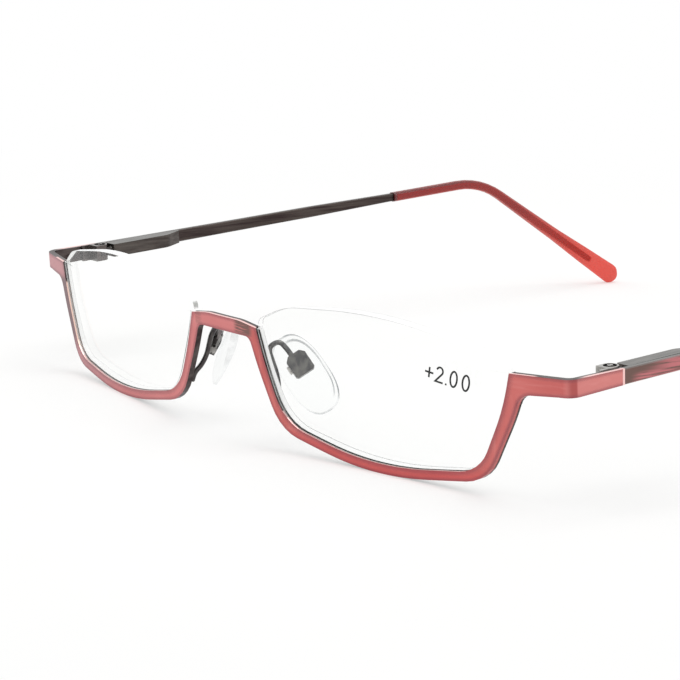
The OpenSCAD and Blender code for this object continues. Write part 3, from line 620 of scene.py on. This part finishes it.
def silicone_finish():
    """Clear, with broken painted grey lines of refraction along and inside its rim, and a little
    skin at its turns.
    """
    f = Finish("pad_silicone")
    own = pad_frame(1)
    folded = f.add("CombineXYZ", {0: f.aside(), 1: f.y, 2: f.z}).outputs[0]
    inputs = {0: folded, 1: own.translation / MM}
    away = f.add("VectorMath", inputs, operation="SUBTRACT").outputs[0]
    outline = 0.0
    for column, half in ((0, PAD_W / 2), (2, PAD_H / 2)):
        part = f.dot(away, own.to_3x3().col[column].normalized() / half)
        power = f.math("POWER", f.math("ABSOLUTE", part), PAD_POWER)
        outline = f.math("ADD", power, outline)
    back = f.dot(away, PAD_BACKWARD)
    high = f.dot(away, PAD_UPWARD)
    cloud = f.noise(0.3, EVEN, detail=2.0, rough=0.5)
    fine = f.noise(3.0, EVEN, detail=2.0, rough=0.5, seed=3.0)

    # Painted grey lines of refraction along the rim and inside it, stronger toward its back and top
    strong = f.step(f.math("ADD", back, high), *STRONG_FROM)
    ends = f.both(f.either(f.step(high, *PAD_FOOT), f.step(high, *PAD_HEAD)), ENDS_SHARE)
    rim = f.both(f.step(outline, *OUTER_LINE), f.either(strong, ends, LEAST_SHARE))
    inner = f.both(f.within(outline, *INNER_LINE), strong, INNER_SHARE)
    refraction_lines = f.both(f.either(rim, inner), f.step(cloud, *LINE_BREAKS))
    tint = f.blend(refraction_lines, f.mottle(cloud, *SILICONE_SKINS), SILICONE_REFRACTION_LINE)
    normal = f.bump(fine, 0.05, GRAIN_MM)
    skin = f.skin(tint, fine, rough=(0.15, 0.3), IOR=SILICONE_IOR, Normal=normal)
    line_share = f.both(refraction_lines, f.range(f.step(f.x, *RIGHT_TO_LEFT), *LINE_SHARES))
    skin_share = f.both(f.step(f.along_view(), *SKIN_SEEN), f.range(cloud, *SKIN_SHARES))
    return f.done(f.mix(f.either(line_share, skin_share), f.clear(*SILICONE_CLEAR), skin))


TIP_CLEAR = (0.95, 0.44, 0.4)
TIP_IOR = 1.49
TIP_RED, TIP_BRIGHT, TIP_PALE = srgb(174, 62, 60), srgb(230, 64, 50), srgb(214, 88, 76)
TIP_TOP_REFLECTION, TIP_COLLAR = srgb(112, 74, 74), srgb(84, 50, 50)
TIP_CLOUDED = (0.4, 0.7)
TIP_TOP = (0.35, 0.85)
TOP_REFLECTION_SHARES = (0.75, 0.25)
RED_SHARES = (0.6, 0.4)
COLLAR_SHARE = 0.9

# Places along the tip in mm: where its core stops, and the collar where it starts
TO_END = (46.0, 72.0)
COLLAR = (15.28, 14.88)


def tip_finish():
    """Translucent red, brighter where the core stops, with a painted grey reflection on top, and
    dark at its collar.
    """
    f = Finish("tip_plastic")
    cloud = f.noise(0.12, (1, 4, 1), detail=2.0, rough=0.5)
    fine = f.noise(1.0, (1, 3, 1), detail=2.0, rough=0.5, seed=3.0)
    to_end = f.step(f.y, *TO_END)
    collar = f.step(f.y, *COLLAR)
    red = f.paint(
        f.blend(to_end, TIP_RED, TIP_BRIGHT),
        (f.step(cloud, *TIP_CLOUDED), 0.3, TIP_PALE),
        # A grey reflection is painted on the top, stronger where the core runs
        (f.step(f.nz, *TIP_TOP), f.range(to_end, *TOP_REFLECTION_SHARES), TIP_TOP_REFLECTION),
        (collar, 0.8, TIP_COLLAR),
    )
    normal = f.bump(fine, 0.02, GRAIN_MM)
    skin = f.skin(red, fine, rough=(0.16, 0.24), IOR=TIP_IOR, Normal=normal)
    share = f.either(f.range(to_end, *RED_SHARES), f.both(collar, COLLAR_SHARE))
    return f.done(f.mix(share, f.clear(*TIP_CLEAR), skin))


HAIRLINE_GREYS = (srgb(104, 108, 106), srgb(168, 172, 168))
HAIRLINE_SHARES = (0.7, 1.0)
INK_BLACKS = (srgb(16, 18, 18), srgb(40, 42, 42))


def bevel_finish():
    """Cloudy grey, a little see-through."""
    f = Finish("bevel_grey")
    grain = f.noise(1.2, (1, 1, 2), detail=2.0, rough=0.6)
    solid = f.skin(f.blend(grain, *HAIRLINE_GREYS), grain, rough=(0.3, 0.5))
    return f.done(f.mix(f.range(grain, *HAIRLINE_SHARES), f.clear(*WHITE), solid))


def ink_finish():
    f = Finish("ink")
    grain = f.noise(9.0, EVEN, detail=2.0, rough=0.6)
    return f.done(f.skin(f.blend(grain, *INK_BLACKS), grain, rough=(0.5, 0.8)))


# ---------------------------------------------------------------- meshes
TINY = 1e-6


def add_mesh(name, verts, faces, material, smooth=True):
    """A new object, with its faces turned outward."""
    mesh = bpy.data.meshes.new(name)
    mesh.from_pydata([tuple(v) for v in verts], [], faces)
    mesh.materials.append(material)
    bm = bmesh.new()
    bm.from_mesh(mesh)
    bmesh.ops.recalc_face_normals(bm, faces=bm.faces)
    bm.to_mesh(mesh)
    bm.free()
    mesh.polygons.foreach_set("use_smooth", [smooth] * len(mesh.polygons))
    obj = bpy.data.objects.new(name, mesh)
    scene.collection.objects.link(obj)
    return obj


def circle(count):
    """Cosine and sine for count points round a circle."""
    angles = [2 * math.pi * i / count for i in range(count)]
    return [(math.cos(angle), math.sin(angle)) for angle in angles]


# ---------------------------------------------------------------- nose pads
PAD_AROUND, LUG_AROUND = 48, 32
PAD_SUBDIVISION = 2

# Rows of points on the pad: how far out each is, and how far forward those on the rim are
FACE_SHARES = (0.0, 0.35, 0.65, 0.85, 0.94, 0.985)
RIM_ROWS = ((1.0, 0.72), (1.0, 0.28))


def pad_edge(c, s):
    """A point of the pad's outline: a long round-cornered form, a little broader at its foot."""
    x = math.copysign(abs(c) ** (2 / PAD_POWER), c) * PAD_W / 2
    z = math.copysign(abs(s) ** (2 / PAD_POWER), s) * PAD_H / 2
    return x * (PAD_TAPER[0] - PAD_TAPER[1] * s), z


def pad_front(x, z):
    """y of the pad's front, in its own frame."""
    return PAD_BACK + PAD_T - (x * x + z * z) / (2 * FRONT_R)


def pad_back(x, z):
    """y of the pad's back, in its own frame."""
    return PAD_BACK + (x * x + z * z) / (2 * BACK_R)


def pad_shell():
    """The pad's skin, as rings from the middle of its front, over its rim, to that of its back."""
    front = [(share, 1.0) for share in FACE_SHARES]
    back = [(share, 0.0) for share in FACE_SHARES[::-1]]
    verts, rows = [], []
    for share, forward in [*front, *RIM_ROWS, *back]:
        row = []
        for c, s in circle(PAD_AROUND if share else 1):
            x, z = (share * v for v in pad_edge(c, s))
            row.append((x, forward * pad_front(x, z) + (1 - forward) * pad_back(x, z), z))
        rows.append(range(len(verts), len(verts) + len(row)))
        verts.extend(row)
    faces = []
    for upper, lower in zip(rows, rows[1:]):
        for i in range(PAD_AROUND):
            j = (i + 1) % PAD_AROUND
            if len(upper) == 1:
                faces.append((upper[0], lower[i], lower[j]))
            elif len(lower) == 1:
                faces.append((upper[i], lower[0], upper[j]))
            else:
                faces.append((upper[i], lower[i], lower[j], upper[j]))
    return verts, faces


def pad_lug():
    """The ear on the pad's back, bored for the pad screw, as closed rings of four loops."""
    half = LUG_W / 2
    loops = ((-half, True), (half, True), (half, False), (-half, False))
    verts, faces = [], []
    for x, outside in loops:
        for c, s in circle(LUG_AROUND):
            reach = PIN_R
            if outside:
                reach = LUG_R if c <= 0 else min(LUG_R / max(abs(s), TINY), LUG_REACH / c)
            verts.append((x, PAD_SCREW[0] + reach * c, PAD_SCREW[1] + reach * s))
    for loop in range(len(loops)):
        a, b = loop * LUG_AROUND, (loop + 1) % len(loops) * LUG_AROUND
        for i in range(LUG_AROUND):
            j = (i + 1) % LUG_AROUND
            faces.append((a + i, a + j, b + j, b + i))
    return verts, faces


def nose_pad(name, side, material):
    """The finer form of a nose pad, in place of the plain solid."""
    verts, faces = pad_shell()
    lug_verts, lug_faces = pad_lug()
    faces = faces + [tuple(len(verts) + i for i in face) for face in lug_faces]
    turn = pad_frame(side)
    verts = [turn @ Vector(v) for v in verts + lug_verts]
    obj = add_mesh("pad_body_" + name, verts, faces, material)
    soft = obj.modifiers.new("soft", "SUBSURF")
    soft.levels = soft.render_levels = PAD_SUBDIVISION
    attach(obj, "pad_" + name)
    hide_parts("nose_pad_" + name)


# ---------------------------------------------------------------- fine bars on the front of a lens
BAR_LIFT = (0.004, 0.02)
BAR_CORNERS = 4
RAY_FROM = -200


def lens_tree(name):
    """The triangles of one lens, for rays to search."""
    mesh = NODES["lens_" + name].data
    polygons = [list(p.vertices) for p in mesh.polygons]
    return BVHTree.FromPolygons([v.co for v in mesh.vertices], polygons)


def on_front(tree, x, z):
    """Place and normal of the lens's front at x and z in mm, or None for both beside the lens."""
    return tree.ray_cast(Vector((x, RAY_FROM, z)) * MM, Vector((0, 1, 0)))[:2]


def add_bar(verts, faces, sides, closed):
    """Adds a flat bar between pairs of points on a lens, each given as its place and normal."""
    base = len(verts)
    low, high = BAR_LIFT
    for a, b in sides:
        for (at, normal), lift in ((a, low), (b, low), (b, high), (a, high)):
            verts.append(at + normal * lift * MM)
    last = len(verts) - BAR_CORNERS
    for p in range(base, last, BAR_CORNERS):
        q = p + BAR_CORNERS
        for k in range(BAR_CORNERS):
            m = (k + 1) % BAR_CORNERS
            faces.append((p + k, p + m, q + m, q + k))
    if not closed:
        faces.append(tuple(range(base, base + BAR_CORNERS)))
        faces.append(tuple(range(last, last + BAR_CORNERS))[::-1])


def add_to_lens(name, verts, faces, material):
    obj = add_mesh(name, verts, faces, material, smooth=False)
    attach(obj, "front")


# The hairline: how far in from the lens's edge, its width and the share of it left at its ends
BEVEL_INSET = 0.95
BEVEL_WIDTH = 0.17
BEVEL_TAPER = 0.2
BEVEL_TOP, BEVEL_FOOT, BEVEL_STEPS = 18.6, 4.4, 40

# The search for the lens's edge starts here and goes out by this step
BEVEL_FROM, BEVEL_SEARCH = 7.5, 0.03


def bevel_line(name, side, material):
    """A hairline inside the lens's nose side, from its top to the corner of the rim."""
    tree = lens_tree(name)
    sides = []
    for i in range(BEVEL_STEPS + 1):
        z = BEVEL_TOP + (BEVEL_FOOT - BEVEL_TOP) * i / BEVEL_STEPS
        x = BEVEL_FROM
        while on_front(tree, side * x, z)[0] is None:
            x += BEVEL_SEARCH
        x += BEVEL_INSET
        swell = math.sin(math.pi * i / BEVEL_STEPS)
        half = BEVEL_WIDTH / 2 * (BEVEL_TAPER + (1 - BEVEL_TAPER) * swell)
        sides.append([on_front(tree, side * (x + dx), z) for dx in (-half, half)])
    verts, faces = [], []
    add_bar(verts, faces, sides, closed=False)
    add_to_lens("bevel_line_" + name, verts, faces, material)


# ---------------------------------------------------------------- lens strength, printed on a lens
INK_AT = Vector((44.75, 15.95))
INK_TILT = math.radians(-8.5)
INK_STROKE = 0.29
MITRE_LIMIT = 0.45


def arc(middle, radii, start, end, count):
    """Points along part of an ellipse, between two angles in degrees."""
    (x, y), (rx, ry) = middle, radii
    angles = [math.radians(start + (end - start) * i / count) for i in range(count + 1)]
    return [(x + rx * math.cos(t), y + ry * math.sin(t)) for t in angles]


def strength_strokes():
    """The strokes of "+2.00", in mm from INK_AT."""
    plus = [[(-1.75, 1.15), (-0.3, 1.15)], [(-1.02, 0.36), (-1.02, 1.94)]]
    two = arc((0.75, 1.78), (0.52, 0.6), 165, -28, 16) + [(0.12, 0.13), (1.42, 0.13)]
    dot = [(1.82, 0.14), (2.08, 0.14)]
    noughts = [arc((x, 1.27), (0.55, 1.17), 0, 360, 40) for x in (3.15, 5.18)]
    return [*plus, two, dot, *noughts]


def ribbon(path, width):
    """Pairs of points on the two long sides of a stroke along path, and whether path is closed."""
    closed = math.dist(path[0], path[-1]) < TINY
    pairs = []
    for i, p in enumerate(path):
        before = path[i - 1] if i else (path[-2] if closed else p)
        after = path[i + 1] if i + 1 < len(path) else (path[1] if closed else p)
        a = Vector(p) - Vector(before)
        b = Vector(after) - Vector(p)
        a = a.normalized() if a.length > TINY else b.normalized()
        b = b.normalized() if b.length > TINY else a
        mid = (a + b).normalized()
        reach = width / 2 / max(MITRE_LIMIT, mid.dot(a))
        across = Vector((-mid.y, mid.x)) * reach
        pairs.append((Vector(p) + across, Vector(p) - across))
    return pairs, closed


def lens_strength(material):
    """The strength printed on the left lens."""
    tree = lens_tree("left")
    turn = Matrix.Rotation(INK_TILT, 2)
    verts, faces = [], []
    for path in strength_strokes():
        pairs, closed = ribbon(path, INK_STROKE)
        sides = [[on_front(tree, *(INK_AT + turn @ p)) for p in pair] for pair in pairs]
        add_bar(verts, faces, sides, closed)
    add_to_lens("lens_strength", verts, faces, material)


# ---------------------------------------------------------------- floor, world and lamps
FLOOR_HALF = 6.0
FLOOR_WHITES = (srgb(250, 250, 249), srgb(253, 253, 252))
FLOOR_SHARE = 0.42
FLOOR_PLAIN = (130, 330)
WORLD_STRENGTH = 0.68

# Name, place, aim and size in metres, and watts
LAMPS = (
    ("overhead", (0.05, 0.1, 0.75), (0, 0, 0), (0.7, 0.7), 2.5),
    ("left_fill", (-0.6, -0.5, 0.35), (0, 0, 0.01), (0.5, 0.4), 0.8),
)


def add_floor():
    """A pale floor, which keeps the soft shadow near the object and runs out to plain white."""
    f = Finish("floor")
    grain = f.noise(0.02, EVEN, detail=2.0, rough=0.5)
    plain = f.add("BsdfDiffuse", {"Color": f.blend(grain, *FLOOR_WHITES)}).outputs[0]
    white = f.add("Emission", {"Color": WHITE, "Strength": 1.0}).outputs[0]
    share = f.range(f.step(f.reach(f.x, f.y), *FLOOR_PLAIN), FLOOR_SHARE, 1.0)
    material = f.done(f.mix(f.both(f.seen(), share), plain, white))
    signs = ((-1, -1), (1, -1), (1, 1), (-1, 1))
    corners = [(FLOOR_HALF * x, FLOOR_HALF * y, 0) for x, y in signs]
    floor = add_mesh("floor", corners, [(0, 1, 2, 3)], material, smooth=False)


def add_world():
    """White to the eye, and a little less bright as a light."""
    world = bpy.data.worlds.new("studio")
    scene.world = world
    nodes = Nodes(world)
    strength = nodes.range(nodes.seen(), WORLD_STRENGTH, 1.0)
    sky = nodes.add("Background", {"Color": WHITE, "Strength": strength}).outputs[0]
    nodes.add("OutputWorld", {"Surface": sky})


def add_lamp(name, place, aim, size, watts):
    data = bpy.data.lights.new(name, "AREA")
    data.shape = "RECTANGLE"
    data.size, data.size_y = size
    data.energy = watts
    obj = bpy.data.objects.new(name, data)
    at = Vector(place)
    turn = (Vector(aim) - at).to_track_quat("-Z", "Y").to_matrix().to_4x4()
    obj.matrix_world = Matrix.Translation(at) @ turn
    scene.collection.objects.link(obj)


# ---------------------------------------------------------------- assembly
SIDES = {"left": 1, "right": -1}

# Dark and pale colours of each metal, and the rings round the screw in mm
SLIDE = (srgb(84, 82, 82), srgb(140, 138, 136))
HINGE = (srgb(150, 148, 144), srgb(188, 186, 182))
SCREW = (srgb(206, 204, 200), srgb(240, 238, 234))
ARM = (srgb(78, 78, 80), srgb(116, 115, 112))
STEEL = (srgb(170, 168, 164), srgb(214, 212, 208))
HINGE_RING = (0.85, 1.0)
SCREW_RING = (0.38, 0.85)


def dress(names, material):
    """Gives the named pieces of the CAD one material."""
    for name in names:
        obj = NODES[name]
        obj.data.materials.clear()
        obj.data.materials.append(material)


def both_sides(*names):
    return [f"{name}_{side}" for name in names for side in SIDES]


add_camera()
add_floor()
add_world()
for lamp in LAMPS:
    add_lamp(*lamp)
scene.view_settings.view_transform = "Standard"

dress(["front_frame"], front_finish())
dress(both_sides("temple"), temple_finish())
dress(both_sides("spring_housing"), housing_finish())
dress(both_sides("carriage"), gunmetal_finish("slide_metal", *SLIDE, (1, 8, 1)))
dress(both_sides("front_hinge"), hinge_finish("hinge_metal", *HINGE, *HINGE_RING))
dress(both_sides("hinge_screw"), hinge_finish("hinge_screw", *SCREW, *SCREW_RING))
dress(both_sides("pad_arm", "pad_box"), gunmetal_finish("gunmetal", *ARM, (1, 1, 2)))
steel = gunmetal_finish("screw_steel", *STEEL, EVEN)
dress(both_sides("pad_screw", "end_nut", "stop_bush", "spring"), steel)
dress(both_sides("lens"), lens_finish())
dress(both_sides("temple_tip"), tip_finish())
silicone = silicone_finish()
for name, side in SIDES.items():
    nose_pad(name, side, silicone)
hairline = bevel_finish()
for name, side in SIDES.items():
    bevel_line(name, side, hairline)
lens_strength(ink_finish())
